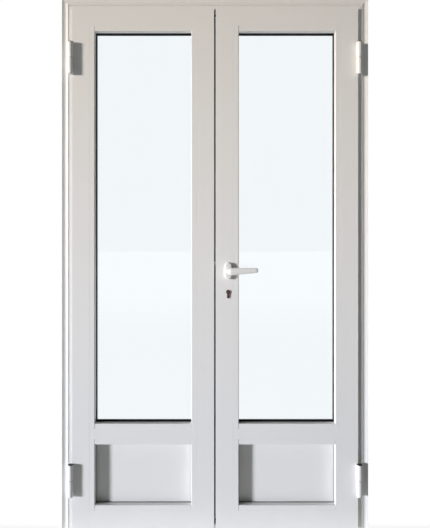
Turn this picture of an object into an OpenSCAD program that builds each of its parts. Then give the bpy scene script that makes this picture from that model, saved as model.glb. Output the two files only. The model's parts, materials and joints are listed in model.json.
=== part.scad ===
// Two-leaf glazed door with a solid kick panel in each leaf, in its frame.
// X runs along the wall, Y away from the room, Z up. The origin is the middle of the threshold's
// underside. The room side faces -Y. The right leaf carries the lock and opens into the room.

/* [Frame] */
// Width over the frame
frame_w = 1230; // [900:1:1800]
// Height over the frame
frame_h = 2130; // [1900:1:2600]
// Depth of the frame, front to back
frame_depth = 50; // [46:1:70]
// Face width of the jambs and the head
frame_face = 50; // [44:1:70]
// Height of the threshold
threshold_h = 20; // [16:1:24]
// Width of the cover groove in the frame's face
cover_groove_w = 3; // [2:0.5:6]
// Depth of the cover groove
cover_groove_d = 3; // [1:0.5:5]
// Depth of the shallow channel along the frame's outer edge
cove_d = 3; // [1:0.5:4]

/* [Leaves] */
// Gap between the two leaves
meeting_gap = 6.5; // [5:0.5:8]
// Distance that a leaf's lip overlaps the frame
lip_overlap = 8; // [6:0.5:10]
// Air between the leaf's body and the frame
chamber_gap = 14; // [11:0.5:18]
// Distance that a leaf stands proud of the frame's face
leaf_proud = 8; // [6:0.5:12]
// Height of the leaf's lower edge above the floor
floor_gap = 8; // [4:0.5:12]
// Face width of a stile or rail without its bead
sash_face = 71; // [64:1:90]
// Face width of the mid rail without its beads
mid_rail_face = 42; // [36:1:80]
// Height of the mid rail's lower edge
mid_rail_z = 363; // [250:1:900]
// Wall of the aluminium extrusions
wall = 2; // [1.6:0.1:2.5]

/* [Glazing] */
// Face width of the glazing beads
bead_face = 21; // [18:0.5:24]
// Thickness of the sealed glass unit
unit_t = 20; // [18:1:24]
// Thickness of one pane
pane_t = 4; // [3:1:6]
// Air left between the glass edge and the rebate
edge_air = 6; // [4:0.5:8]
// Thickness of the outside seal
outer_seal_t = 4; // [3:0.5:5]
// Thickness of the room-side seal
inner_seal_t = 8; // [4:0.5:9]
// Distance that the glass seal shows past the bead
glass_seal_lip = 4.5; // [1:0.5:5]
// Distance that the panel seal shows past the bead
panel_seal_lip = 1.5; // [1:0.5:5]

/* [Hinges] */
// Radius of a hinge knuckle
knuckle_r = 11; // [9:0.5:14]
// Length of one knuckle
knuckle_h = 63.5; // [50:0.5:80]
// Radius of the hinge pin
pin_r = 5; // [4:0.5:6]
// Height of the lower hinge's middle
hinge_low_z = 203; // [150:1:300]
// Distance of the upper hinge's middle below the leaf's top edge
hinge_top_drop = 201; // [150:1:300]

/* [Lock] */
// Distance of the spindle from the meeting edge
backset = 49.75; // [45:0.25:55]
// Height of the spindle
spindle_z = 1038; // [950:1:1100]
// Distance of the cylinder below the spindle
cylinder_drop = 85; // [70:1:92]
// Side of the square spindle
spindle_side = 8; // [7:1:9]
// Length of the lever from its spindle
lever_len = 116; // [100:1:130]
// Radius of the outside knob
knob_r = 24; // [20:0.5:27]
// Width of a rosette
rosette_w = 28; // [26:1:34]
// Height of a rosette
rosette_h = 66; // [60:1:80]
// Thickness of a rosette
rosette_t = 13; // [8:0.5:14]
// Travel of the latch bolt
latch_travel = 11; // [8:0.5:12]
// Throw of the dead bolt
dead_throw = 20; // [14:1:22]
// Travel of a flush bolt
flush_travel = 22; // [18:1:24]

/* [Clearances] */
// Running clearance around a turning pin
run_clear = 0.05; // [0.02:0.01:0.1]
// Clearance around sliding and dropped-in pieces
slide_clear = 0.4; // [0.2:0.05:0.6]

/* [Hidden] */
$fn = 48;
eps = 1;

// Colours
white = [0.93, 0.93, 0.92];
cap_black = [0.08, 0.08, 0.08];
rubber = [0.05, 0.05, 0.05];
clear_glass = [0.85, 0.93, 0.95, 0.4];
steel = [0.70, 0.71, 0.72];
raw_alloy = [0.78, 0.79, 0.80];
bronze = [0.25, 0.17, 0.12];
spacer_grey = [0.55, 0.56, 0.58];
nylon = [0.35, 0.36, 0.38];

// Frame planes
room_y = -frame_depth / 2;
back_y = frame_depth / 2;
jamb_in = frame_w / 2 - frame_face;
head_in = frame_h - frame_face;
flange_t = 2.5;
flange_h = chamber_gap - 4;
seal_room = 3;
cover_groove_u = 26.5;
cove_us = [10.5, 15.5, 24];

// Leaf planes
leaf_y = room_y - leaf_proud;
leaf_edge = jamb_in + lip_overlap;
leaf_top = head_in + lip_overlap;
lip_w = lip_overlap + chamber_gap;
lip_tip_w = 6;
lip_back_y = room_y - 2;
meet_x = meeting_gap / 2;
edge_round = 0.5;
open_w = bead_face + sash_face;

// Glazing planes
glass_back_y = back_y - flange_t - outer_seal_t;
glass_y = glass_back_y - unit_t;
bead_back_y = glass_y - inner_seal_t;
bead_joint = 0.2;
bead_round = 3;
clip_d = 4;
clip_y0 = bead_back_y - 10.5;
clip_y1 = clip_y0 + 4;
spacer_in = 3;
spacer_w = 7;

// Rebates of the right leaf: left, right, bottom and top of the clear space for glass and panel
rebate_x0 = meet_x + sash_face;
rebate_x1 = leaf_edge - sash_face;
glass_z0 = mid_rail_z + mid_rail_face;
glass_z1 = leaf_top - sash_face;
panel_z0 = floor_gap + sash_face;
panel_z1 = mid_rail_z;

// Hinge axes
hinge_x = leaf_edge + 2;
hinge_y = leaf_y - knuckle_r - 0.5;
hinge_zs = [hinge_low_z, leaf_top - hinge_top_drop];
washer_t = 2;
cap_t = 2;

// Lock places
lock_x = meet_x + backset;
lock_y = -4;
cylinder_z = spindle_z - cylinder_drop;
face_w = 22;
face_t = 3;
face_z0 = cylinder_z - 74;
face_z1 = spindle_z + 74;
case_t = 16;
case_wall = 1.5;
case_x0 = meet_x + face_t;
case_x1 = meet_x + sash_face - wall - 1.5;
case_z0 = cylinder_z - 46;
case_z1 = spindle_z + 50;
latch_z = spindle_z + 26;
latch_h = 18;
latch_t = 12;
dead_z = cylinder_z + 41;
dead_h = 20;
dead_t = 12;
bolt_tail = dead_throw + 22;
latch_tail = 40;
strike_z0 = dead_z - 28;
strike_z1 = latch_z + 28;
cylinder_r = 8.5;
cylinder_web = 10;
cylinder_leg = 24.5;
cylinder_proud = 3;
plug_r = 6;
cam_r = 14;
cam_t = 9;
key_slot = [1.6, 8.4];
key_deep = 12;
follower_r = 10;
hub_r = 9;
spindle_end = 18;
lever_reach = 45;
lever_t = 9;

// Flush bolts
bolt_r = 4;
bolt_x = -(meet_x + 12);
bolt_top_end = leaf_top - lip_w - 1.5;
bolt_low_end = floor_gap + lip_w + 1;
thumb_h = 26;
thumb_slot = thumb_h + flush_travel + 2;
thumb_slots = [leaf_top - 420, floor_gap + 300];
keep_t = 2;

// Fixing holes through the jambs
fix_r = 3.75;
fix_y = 0;
fix_spacing = 600;
fix_zs = [for (k = [-1.5:1:1.5]) frame_h / 2 + k * fix_spacing];

// ---------------------------------------------------------------- helpers

// A bar along Z whose section is given as X and Y
module upright(z0, z1)
    translate([0, 0, z0]) linear_extrude(z1 - z0) children();

// A bar along X whose section is given as Y and Z
module level(x0, x1)
    translate([x0, 0, 0]) rotate([90, 0, 90]) linear_extrude(x1 - x0) children();

// A plate along Y whose outline is given as X and Z
module plate(y0, y1)
    translate([0, y1, 0]) rotate([90, 0, 0]) linear_extrude(y1 - y0) children();

module box(a, b)
    translate(a) cube([b[0] - a[0], b[1] - a[1], b[2] - a[2]]);

// A rod along Y
module rod_y(x, z, r, y0, y1)
    translate([x, y1, z]) rotate([90, 0, 0]) cylinder(r = r, h = y1 - y0);

// Copies a piece of the right leaf, or mirrors it to the left one
module leaf_side(side)
    if (side < 0) mirror([1, 0, 0]) children(); else children();

// The four sides of a rectangle. The section is given as distance out from the opening
// and Y, and the corners are mitred.
module mitred_ring(x0, x1, z0, z1, out) {
    y0 = -frame_depth;
    y1 = frame_depth;
    intersection() {
        union() {
            upright(z0 - out, z1 + out) translate([x1, 0]) children();
            upright(z0 - out, z1 + out) translate([x0, 0]) mirror([1, 0]) children();
        }
        union() {
            plate(y0, y1) polygon([
                [x1, z0], [x1 + out, z0 - out], [x1 + out, z1 + out], [x1, z1]]);
            plate(y0, y1) polygon([
                [x0, z0], [x0 - out, z0 - out], [x0 - out, z1 + out], [x0, z1]]);
        }
    }
    intersection() {
        union() {
            level(x0 - out, x1 + out) translate([0, z1]) rotate(90) mirror([0, 1]) children();
            level(x0 - out, x1 + out) translate([0, z0]) rotate(-90) children();
        }
        union() {
            plate(y0, y1) polygon([
                [x0, z1], [x0 - out, z1 + out], [x1 + out, z1 + out], [x1, z1]]);
            plate(y0, y1) polygon([
                [x0, z0], [x0 - out, z0 - out], [x1 + out, z0 - out], [x1, z0]]);
        }
    }
}

// ---------------------------------------------------------------- sections

// Jamb and head: distance in from the outer edge, and Y
module frame_section() {
    g0 = cover_groove_u;
    g1 = g0 + cover_groove_w;
    gy = room_y + cover_groove_d;
    deep_y = room_y + max(cove_d, cover_groove_d) + wall;
    difference() {
        polygon([
            [0, room_y + edge_round], [edge_round, room_y], [cove_us[0], room_y + cove_d],
            [cove_us[1], room_y + cove_d], [cove_us[2], room_y], [g0, room_y], [g0, gy],
            [g1, gy], [g1, room_y], [frame_face - 1, room_y], [frame_face, room_y + 1],
            [frame_face, back_y - flange_t], [frame_face + flange_h, back_y - flange_t],
            [frame_face + flange_h, back_y], [0, back_y]]);
        polygon([
            [wall, room_y + wall + 0.5], [cove_us[0], deep_y], [g1 + wall, deep_y],
            [g1 + wall, room_y + wall],
            [frame_face - wall, room_y + wall], [frame_face - wall, back_y - wall],
            [wall, back_y - wall]]);
    }
}

// Threshold: Y and Z
module threshold_section() {
    difference() {
        polygon([
            [room_y, 0], [back_y, 0], [back_y, threshold_h + 6],
            [back_y - flange_t, threshold_h + 6], [back_y - flange_t, threshold_h],
            [room_y + 1, threshold_h], [room_y, threshold_h - 1]]);
        translate([room_y + wall, wall])
            square([frame_depth - 2 * wall, threshold_h - 2 * wall]);
    }
}

// The glazing side of every leaf bar, from the room face to the back face, at distance w
function rebate_points(w) = [
    [w - 0.6, leaf_y], [w, leaf_y + 0.6], [w, clip_y0], [w - clip_d, clip_y0],
    [w - clip_d, clip_y1], [w, clip_y1], [w, back_y - flange_t],
    [w + bead_face, back_y - flange_t], [w + bead_face, back_y - 0.8],
    [w + bead_face - 0.8, back_y]];

// The chamber's glazing side, one wall in
function chamber_points(w) = [
    [w - wall, leaf_y + wall], [w - wall, clip_y0 - wall],
    [w - clip_d - wall, clip_y0 - wall], [w - clip_d - wall, clip_y1 + wall],
    [w - wall, clip_y1 + wall], [w - wall, back_y - wall]];

// Stile or rail with a lip over the frame: distance in from the leaf's edge, and Y
module lipped_section() {
    seal_y = leaf_y + 3;
    groove_y = [lock_y - 9, lock_y + 3];
    groove_d = 3;
    difference() {
        polygon(concat(
            [[edge_round, leaf_y]],
            rebate_points(sash_face),
            [[lip_w + 0.8, back_y], [lip_w, back_y - 0.8], [lip_w, groove_y[1]],
             [lip_w + groove_d, groove_y[1]], [lip_w + groove_d, groove_y[0]],
             [lip_w, groove_y[0]], [lip_w, leaf_y + 2.2], [lip_tip_w, leaf_y + 2.2],
             [lip_tip_w, lip_back_y], [4.6, lip_back_y], [4.6, seal_y], [2, seal_y],
             [2, lip_back_y], [0, lip_back_y], [0, leaf_y + edge_round]]));
        polygon(concat(
            [[lip_w + wall, leaf_y + wall]],
            chamber_points(sash_face),
            [[lip_w + wall, back_y - wall], [lip_w + wall, groove_y[1] + wall],
             [lip_w + groove_d + wall, groove_y[1] + wall],
             [lip_w + groove_d + wall, groove_y[0] - wall],
             [lip_w + wall, groove_y[0] - wall]]));
    }
}

// Meeting stile, closed over its full depth: distance in from the meeting edge, and Y
module meeting_section() {
    difference() {
        polygon(concat(
            [[edge_round, leaf_y]],
            rebate_points(sash_face),
            [[0.8, back_y], [0, back_y - 0.8], [0, leaf_y + edge_round]]));
        polygon(concat(
            [[wall, leaf_y + wall]],
            chamber_points(sash_face),
            [[wall, back_y - wall]]));
    }
}

// Mid rail: distance up from its middle, and Y
module mid_section() {
    h = mid_rail_face / 2;
    up = rebate_points(h);
    down = [for (i = [len(up) - 1:-1:0]) [-up[i][0], up[i][1]]];
    in_up = chamber_points(h);
    in_down = [for (i = [len(in_up) - 1:-1:0]) [-in_up[i][0], in_up[i][1]]];
    difference() {
        polygon(concat(up, down));
        polygon(concat(in_up, in_down));
    }
}

// Glazing bead with its clip: distance in from the rebate, and Y
module bead_section() {
    n = slide_clear / 2;
    round_x = bead_face - bead_round;
    round_y = leaf_y + bead_round;
    difference() {
        union() {
            polygon([
                [0, leaf_y + 0.6], [0.6, leaf_y], [round_x, leaf_y], [round_x, round_y],
                [bead_face, round_y], [bead_face, bead_back_y], [0, bead_back_y],
                [0, clip_y1 - n], [n - clip_d, clip_y1 - n], [n - clip_d, clip_y0 + n],
                [0, clip_y0 + n]]);
            translate([round_x, round_y]) circle(r = bead_round);
        }
        translate([wall, leaf_y + wall])
            square([bead_face - 2 * wall, bead_back_y - leaf_y - 2 * wall]);
    }
}

// Seals: distance out from the visible opening, and Y
module inner_seal_section(lip) {
    polygon([
        [0.5, bead_back_y], [bead_face - 9, bead_back_y], [bead_face - 9, glass_y],
        [-lip, glass_y], [-lip, glass_y - 1.2], [-0.5, bead_back_y + 1]]);
}

module outer_seal_section() {
    polygon([
        [0, glass_back_y], [bead_face - 9, glass_back_y],
        [bead_face - 9, back_y - flange_t], [0.8, back_y - flange_t],
        [-1, glass_back_y + 1.2], [-1, glass_back_y]]);
}

// ---------------------------------------------------------------- frame

module jamb(side) {
    leaf_side(side) color(white) difference() {
        intersection() {
            upright(0, frame_h) translate([frame_w / 2, 0]) mirror([1, 0]) frame_section();
            plate(room_y - eps, back_y + eps) polygon([
                [jamb_in - flange_h, 0], [frame_w / 2, 0], [frame_w / 2, frame_h],
                [jamb_in - flange_h, head_in - flange_h]]);
        }
        for (z = fix_zs)
            translate([jamb_in - eps, fix_y, z]) rotate([0, 90, 0])
                cylinder(r = fix_r, h = frame_face + 2 * eps);
        // the threshold's upstand passes under the back flange
        box([jamb_in - flange_h - eps, back_y - flange_t - eps, -eps],
            [jamb_in, back_y + eps, threshold_h + 6]);
    }
}

module frame_jamb_left() jamb(-1);
module frame_jamb_right() jamb(1);

module frame_head() {
    e = frame_face + flange_h;
    color(white) difference() {
        intersection() {
            level(-frame_w / 2, frame_w / 2) translate([0, frame_h]) rotate(-90)
                frame_section();
            plate(room_y - eps, back_y + eps) polygon([
                [-frame_w / 2, frame_h], [frame_w / 2, frame_h],
                [frame_w / 2 - e, frame_h - e], [-frame_w / 2 + e, frame_h - e]]);
        }
        translate([bolt_x, lock_y, head_in - eps])
            cylinder(r = bolt_r + slide_clear, h = wall + 2 * eps);
    }
}

module threshold() {
    color(raw_alloy) difference() {
        level(-jamb_in, jamb_in) threshold_section();
        translate([bolt_x, lock_y, threshold_h - wall - eps])
            cylinder(r = bolt_r + slide_clear, h = wall + 2 * eps);
    }
}

module frame_corner_cleats() {
    leg = 58;
    depth = 18;
    o = 34;
    i = 46;
    color(raw_alloy) for (side = [-1, 1]) leaf_side(side)
        plate(back_y - wall - depth, back_y - wall) polygon([
            [frame_w / 2 - o, frame_h - o], [frame_w / 2 - o - leg, frame_h - o],
            [frame_w / 2 - o - leg, frame_h - i], [frame_w / 2 - i, frame_h - i],
            [frame_w / 2 - i, frame_h - o - leg], [frame_w / 2 - o, frame_h - o - leg]]);
}

// A wiper seal on the frame's inner edge and on the threshold
module frame_seal() {
    tip = chamber_gap - slide_clear;
    low_tip = floor_gap + lip_w - threshold_h - slide_clear;
    module wiper(t) polygon([
        [0, 3], [seal_room, 3], [seal_room, 5], [t, 7], [t, 8.2], [seal_room, 7.4],
        [seal_room, 9], [0, 9]]);
    color(rubber) {
        for (side = [-1, 1]) leaf_side(side) intersection() {
            upright(threshold_h, head_in) translate([jamb_in, 0]) mirror([1, 0]) wiper(tip);
            plate(0, 12) polygon([
                [jamb_in, threshold_h], [jamb_in, head_in], [jamb_in - tip, head_in - tip],
                [jamb_in - tip, threshold_h]]);
        }
        intersection() {
            level(-jamb_in, jamb_in) translate([0, head_in]) rotate(-90) wiper(tip);
            plate(0, 12) polygon([
                [-jamb_in, head_in], [jamb_in, head_in], [jamb_in - tip, head_in - tip],
                [-jamb_in + tip, head_in - tip]]);
        }
        level(-jamb_in + tip + 0.5, jamb_in - tip - 0.5)
            translate([0, threshold_h]) rotate(90) mirror([0, 1]) wiper(low_tip);
    }
}

// Keep plates for the flush bolts, on the head and on the threshold
module bolt_keeps() {
    w = 24;
    l = 60;
    y0 = lock_y - w / 2;
    y1 = 3 - 0.5;
    color(steel) for (z = [head_in - keep_t, threshold_h]) difference() {
        box([bolt_x - l / 2, y0, z], [bolt_x + l / 2, y1, z + keep_t]);
        translate([bolt_x, lock_y, z - eps])
            cylinder(r = bolt_r + slide_clear, h = keep_t + 2 * eps);
    }
}

// ---------------------------------------------------------------- hinges

module at_hinges(side)
    leaf_side(side) for (z = hinge_zs) translate([hinge_x, hinge_y, z]) children();

module hinge_frame_halves() {
    color(white) for (side = [-1, 1]) at_hinges(side) difference() {
        union() {
            translate([0, 0, -knuckle_h - washer_t / 2 + cap_t])
                cylinder(r = knuckle_r, h = knuckle_h - cap_t);
            box([0.5, 0, -knuckle_h - washer_t / 2 + cap_t],
                [knuckle_r - 2, room_y - hinge_y, -washer_t / 2 - 1]);
        }
        translate([0, 0, -knuckle_h - eps]) cylinder(r = pin_r, h = knuckle_h + 2 * eps);
    }
}

module hinge_pins() {
    color(steel) for (side = [-1, 1]) at_hinges(side)
        translate([0, 0, -knuckle_h + 8]) cylinder(r = pin_r, h = 2 * knuckle_h - 16);
}

module hinge_washers() {
    color(steel) for (side = [-1, 1]) at_hinges(side) difference() {
        translate([0, 0, -washer_t / 2]) cylinder(r = knuckle_r - 1.5, h = washer_t);
        translate([0, 0, -washer_t]) cylinder(r = pin_r + run_clear, h = 2 * washer_t);
    }
}

// A cap over the open end of a knuckle, with its stem in the bore
module knuckle_cap() {
    cylinder(r = knuckle_r - 0.3, h = cap_t);
    translate([0, 0, -5]) cylinder(r = pin_r, h = 5 + eps);
}

module hinge_foot_caps() {
    color(white) for (side = [-1, 1]) at_hinges(side)
        translate([0, 0, -knuckle_h - washer_t / 2 + cap_t]) mirror([0, 0, 1]) knuckle_cap();
}

module hinge_leaf_halves(side) {
    color(white) at_hinges(side) difference() {
        union() {
            translate([0, 0, washer_t / 2]) cylinder(r = knuckle_r, h = knuckle_h - cap_t);
            box([1 - knuckle_r, 0, washer_t / 2 + 1], [-3, leaf_y - hinge_y, knuckle_h - cap_t]);
        }
        translate([0, 0, -eps])
            cylinder(r = pin_r + run_clear, h = knuckle_h - 6.5 + eps);
        translate([0, 0, knuckle_h - 7]) cylinder(r = pin_r, h = 7 + eps);
    }
}

module hinge_caps(side) {
    color(cap_black) at_hinges(side)
        translate([0, 0, knuckle_h + washer_t / 2 - cap_t]) knuckle_cap();
}

// ---------------------------------------------------------------- leaves

// Mitre outlines of the right leaf, as X and Z
module leaf_mitre(which) {
    x0 = meet_x;
    x1 = leaf_edge;
    z0 = floor_gap;
    z1 = leaf_top;
    m = open_w;
    y = [leaf_y - eps, back_y + eps];
    plate(y[0], y[1])
        if (which == "hinge") polygon([[x1, z0], [x1, z1], [x1 - m, z1 - m], [x1 - m, z0 + m]]);
        else if (which == "meeting")
            polygon([[x0, z0], [x0, z1], [x0 + m, z1 - m], [x0 + m, z0 + m]]);
        else if (which == "top")
            polygon([[x0, z1], [x1, z1], [x1 - m, z1 - m], [x0 + m, z1 - m]]);
        else polygon([[x0, z0], [x1, z0], [x1 - m, z0 + m], [x0 + m, z0 + m]]);
}

module hinge_stile(side) {
    leaf_side(side) color(white) intersection() {
        upright(floor_gap, leaf_top) translate([leaf_edge, 0]) mirror([1, 0]) lipped_section();
        leaf_mitre("hinge");
    }
}

// Stile body with its ends notched round the head and the threshold
module meeting_stile_body() {
    difference() {
        intersection() {
            upright(floor_gap, leaf_top) translate([meet_x, 0]) meeting_section();
            leaf_mitre("meeting");
        }
        box([meet_x - eps, leaf_y + wall + 0.2, leaf_top - lip_w],
            [meet_x + lip_w, back_y + eps, leaf_top + eps]);
        box([meet_x - eps, leaf_y + wall + 0.2, floor_gap - eps],
            [meet_x + lip_w, back_y + eps, floor_gap + lip_w]);
    }
}

module right_meeting_stile() {
    c = slide_clear / 2;
    color(white) difference() {
        meeting_stile_body();
        // slot for the faceplate in the edge
        box([meet_x - eps, lock_y - face_w / 2 - c, face_z0 - c],
            [meet_x + face_t, lock_y + face_w / 2 + c, face_z1 + c]);
        // spindle and cylinder holes through both faces
        rod_y(lock_x, spindle_z, hub_r + 1, leaf_y - eps, back_y + eps);
        profile_hole(leaf_y - eps, back_y + eps, c);
    }
}

module left_meeting_stile() {
    c = slide_clear / 2;
    leaf_side(-1) color(white) difference() {
        meeting_stile_body();
        box([meet_x - eps, lock_y - face_w / 2 - c, strike_z0 - c],
            [meet_x + face_t, lock_y + face_w / 2 + c, strike_z1 + c]);
        // slots for the flush bolts' thumb pieces
        for (z = thumb_slots) box([meet_x - eps, lock_y - 4.4, z],
                                  [meet_x + wall + eps, lock_y + 4.4, z + thumb_slot]);
        // the meeting seal's groove
        box([meet_x - eps, 13, floor_gap + lip_w - eps], [meet_x + wall + eps, 16, leaf_top]);
    }
}

module top_rail(side) {
    leaf_side(side) color(white) intersection() {
        level(meet_x, leaf_edge) translate([0, leaf_top]) rotate(-90) lipped_section();
        leaf_mitre("top");
    }
}

module bottom_rail(side) {
    leaf_side(side) color(white) intersection() {
        level(meet_x, leaf_edge)
            translate([0, floor_gap]) rotate(90) mirror([0, 1]) lipped_section();
        leaf_mitre("bottom");
    }
}

module mid_rail(side) {
    z = mid_rail_z + mid_rail_face / 2;
    leaf_side(side) color(white) difference() {
        level(rebate_x0, rebate_x1) translate([0, z]) rotate(90) mirror([0, 1]) mid_section();
        // coped over the stiles' outer lips
        for (x = [rebate_x0, rebate_x1])
            box([x - bead_face, back_y - flange_t, mid_rail_z - bead_face - eps],
                [x + bead_face, back_y + eps, glass_z0 + bead_face + eps]);
    }
}

module leaf_corner_cleats(side) {
    leg = 70;
    depth = 14;
    o = lip_w + 10;
    i = sash_face - 10;
    leaf_side(side) color(raw_alloy)
        for (c = [[meet_x, 1], [leaf_edge, -1]], d = [[leaf_top, -1], [floor_gap, 1]])
            translate([c[0], 0, d[0]]) scale([c[1], 1, d[1]])
                plate(back_y - wall - depth, back_y - wall) polygon([
                    [o, o], [o + leg, o], [o + leg, i], [i, i], [i, o + leg], [o, o + leg]]);
}

// ---------------------------------------------------------------- glazing

module sheet(y0, y1, z0, z1, inset)
    box([rebate_x0 + inset, y0, z0 + inset], [rebate_x1 - inset, y1, z1 - inset]);

module glass_panes(side) {
    leaf_side(side) color(clear_glass) {
        sheet(glass_y, glass_y + pane_t, glass_z0, glass_z1, edge_air);
        sheet(glass_back_y - pane_t, glass_back_y, glass_z0, glass_z1, edge_air);
    }
}

module glass_spacer(side) {
    y0 = glass_y + pane_t;
    y1 = glass_back_y - pane_t;
    leaf_side(side) color(spacer_grey) difference() {
        sheet(y0, y1, glass_z0, glass_z1, edge_air + spacer_in);
        sheet(y0 - eps, y1 + eps, glass_z0, glass_z1, edge_air + spacer_in + spacer_w);
    }
}

module panel(side) {
    leaf_side(side) color(white) sheet(glass_y, glass_back_y, panel_z0, panel_z1, edge_air);
}

module glazing_seals(side) {
    b = bead_face;
    x0 = rebate_x0 + b;
    x1 = rebate_x1 - b;
    leaf_side(side) color(rubber) {
        mitred_ring(x0, x1, glass_z0 + b, glass_z1 - b, b) inner_seal_section(glass_seal_lip);
        mitred_ring(x0, x1, panel_z0 + b, panel_z1 - b, b) inner_seal_section(panel_seal_lip);
        mitred_ring(x0, x1, glass_z0 + b, glass_z1 - b, b) outer_seal_section();
        mitred_ring(x0, x1, panel_z0 + b, panel_z1 - b, b) outer_seal_section();
    }
}

// Upright beads run through and level beads fit between them
module bead_set(z0, z1) {
    upright(z0, z1) translate([rebate_x0, 0]) bead_section();
    upright(z0, z1) translate([rebate_x1, 0]) mirror([1, 0]) bead_section();
    x0 = rebate_x0 + bead_face + bead_joint;
    x1 = rebate_x1 - bead_face - bead_joint;
    level(x0, x1) translate([0, z0]) rotate(90) mirror([0, 1]) bead_section();
    level(x0, x1) translate([0, z1]) rotate(-90) bead_section();
}

module beads(side) {
    leaf_side(side) color(white) {
        bead_set(glass_z0, glass_z1);
        bead_set(panel_z0, panel_z1);
    }
}

module setting_blocks(side) {
    l = 90;
    leaf_side(side) color(nylon)
        for (z = [glass_z0, panel_z0], x = [rebate_x0 + 60, rebate_x1 - 60 - l])
            box([x, glass_y, z], [x + l, glass_back_y, z + edge_air]);
}

module lip_seal(side) {
    tip_y = room_y - 0.4;
    module strip() polygon([
        [2, leaf_y + 3], [4.6, leaf_y + 3], [4.6, lip_back_y], [5.4, tip_y], [1.4, tip_y],
        [2, lip_back_y]]);
    e = lip_w;
    leaf_side(side) color(rubber) {
        intersection() {
            upright(floor_gap, leaf_top) translate([leaf_edge, 0]) mirror([1, 0]) strip();
            plate(leaf_y, room_y) polygon([
                [leaf_edge, floor_gap], [leaf_edge, leaf_top], [leaf_edge - e, leaf_top - e],
                [leaf_edge - e, floor_gap + e]]);
        }
        intersection() {
            union() {
                level(meet_x + 1, leaf_edge) translate([0, leaf_top]) rotate(-90) strip();
                level(meet_x + 1, leaf_edge)
                    translate([0, floor_gap]) rotate(90) mirror([0, 1]) strip();
            }
            plate(leaf_y, room_y) polygon([
                [meet_x, floor_gap], [leaf_edge, floor_gap], [leaf_edge - e, floor_gap + e],
                [leaf_edge - e, leaf_top - e], [leaf_edge, leaf_top], [meet_x, leaf_top]]);
        }
    }
}

// ---------------------------------------------------------------- meeting joint

module left_meeting_seal() {
    reach = meet_x - slide_clear;
    color(rubber) upright(floor_gap + lip_w, leaf_top - lip_w) polygon([
        [-meet_x - wall, 13], [-meet_x, 13], [reach, 13.8], [reach, 15.2], [-meet_x, 16],
        [-meet_x - wall, 16]]);
}

module left_strike_plate() {
    c = slide_clear;
    color(steel) difference() {
        box([-meet_x - face_t, lock_y - face_w / 2, strike_z0],
            [-meet_x, lock_y + face_w / 2, strike_z1]);
        bolt_hole(latch_z, latch_h, latch_t, c, [-meet_x - face_t, -meet_x]);
        bolt_hole(dead_z, dead_h, dead_t, c, [-meet_x - face_t, -meet_x]);
    }
}

// A square hole along X for a bolt
module bolt_hole(z, h, t, c, xs)
    box([xs[0] - eps, lock_y - t / 2 - c, z - h / 2 - c],
        [xs[1] + eps, lock_y + t / 2 + c, z + h / 2 + c]);

// Rod in the meeting stile with a thumb piece in the stile's edge
module flush_bolt(z_end, z_back, thumb_z) {
    color(steel) {
        translate([bolt_x, lock_y, min(z_end, z_back)])
            cylinder(r = bolt_r, h = abs(z_end - z_back));
        box([bolt_x, lock_y - 3, thumb_z], [-meet_x - 0.2, lock_y + 3, thumb_z + thumb_h]);
    }
}

module left_flush_bolt_top()
    flush_bolt(bolt_top_end, thumb_slots[0] - 20, thumb_slots[0] + 1);

module left_flush_bolt_bottom()
    flush_bolt(bolt_low_end, thumb_slots[1] + thumb_slot + 20,
               thumb_slots[1] + thumb_slot - thumb_h - 1);

// Nylon blocks in the stile that guide the rods
module left_bolt_guides() {
    x1 = -meet_x - wall;
    h = 14;
    color(nylon) for (z = [leaf_top - lip_w - 30, floor_gap + lip_w + 30 - h]) difference() {
        box([x1 - 22, leaf_y + wall, z], [x1, back_y - wall, z + h]);
        translate([bolt_x, lock_y, z - eps])
            cylinder(r = bolt_r + slide_clear / 2, h = h + 2 * eps);
    }
}

// ---------------------------------------------------------------- lock

// The outline of a profile cylinder, cut along Y
module profile_hole(y0, y1, c) {
    rod_y(lock_x, cylinder_z, cylinder_r + c, y0, y1);
    box([lock_x - cylinder_web / 2 - c, y0, cylinder_z - cylinder_leg - c],
        [lock_x + cylinder_web / 2 + c, y1, cylinder_z]);
}

module lock_case() {
    y0 = lock_y - case_t / 2;
    y1 = lock_y + case_t / 2;
    c = slide_clear;
    color(steel) difference() {
        box([case_x0, y0, case_z0], [case_x1, y1, case_z1]);
        box([case_x0 + case_wall, y0 + case_wall, case_z0 + case_wall],
            [case_x1 - case_wall, y1 - case_wall, case_z1 - case_wall]);
        bolt_hole(latch_z, latch_h, latch_t, c, [case_x0, case_x0 + case_wall]);
        bolt_hole(dead_z, dead_h, dead_t, c, [case_x0, case_x0 + case_wall]);
        rod_y(lock_x, spindle_z, follower_r + c, y0 - eps, y1 + eps);
        profile_hole(y0 - eps, y1 + eps, slide_clear / 2);
    }
}

module lock_faceplate() {
    color(steel) difference() {
        box([meet_x, lock_y - face_w / 2, face_z0],
            [meet_x + face_t, lock_y + face_w / 2, face_z1]);
        bolt_hole(latch_z, latch_h, latch_t, slide_clear, [meet_x, meet_x + face_t]);
        bolt_hole(dead_z, dead_h, dead_t, slide_clear, [meet_x, meet_x + face_t]);
    }
}

module latch_bolt() {
    tip = meet_x - latch_travel;
    y0 = lock_y - latch_t / 2;
    y1 = lock_y + latch_t / 2;
    color(steel) upright(latch_z - latch_h / 2, latch_z + latch_h / 2) polygon([
        [tip, y0], [tip, y0 + 3], [meet_x - 1, y1], [latch_tail, y1], [latch_tail, y0]]);
}

module dead_bolt() {
    color(steel) box([meet_x, lock_y - dead_t / 2, dead_z - dead_h / 2],
                     [meet_x + bolt_tail, lock_y + dead_t / 2, dead_z + dead_h / 2]);
}

module lock_follower() {
    s = spindle_side / 2;
    color(steel) difference() {
        rod_y(lock_x, spindle_z, follower_r, lock_y - case_t / 2, lock_y + case_t / 2);
        box([lock_x - s, lock_y - case_t, spindle_z - s],
            [lock_x + s, lock_y + case_t, spindle_z + s]);
    }
}

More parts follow.
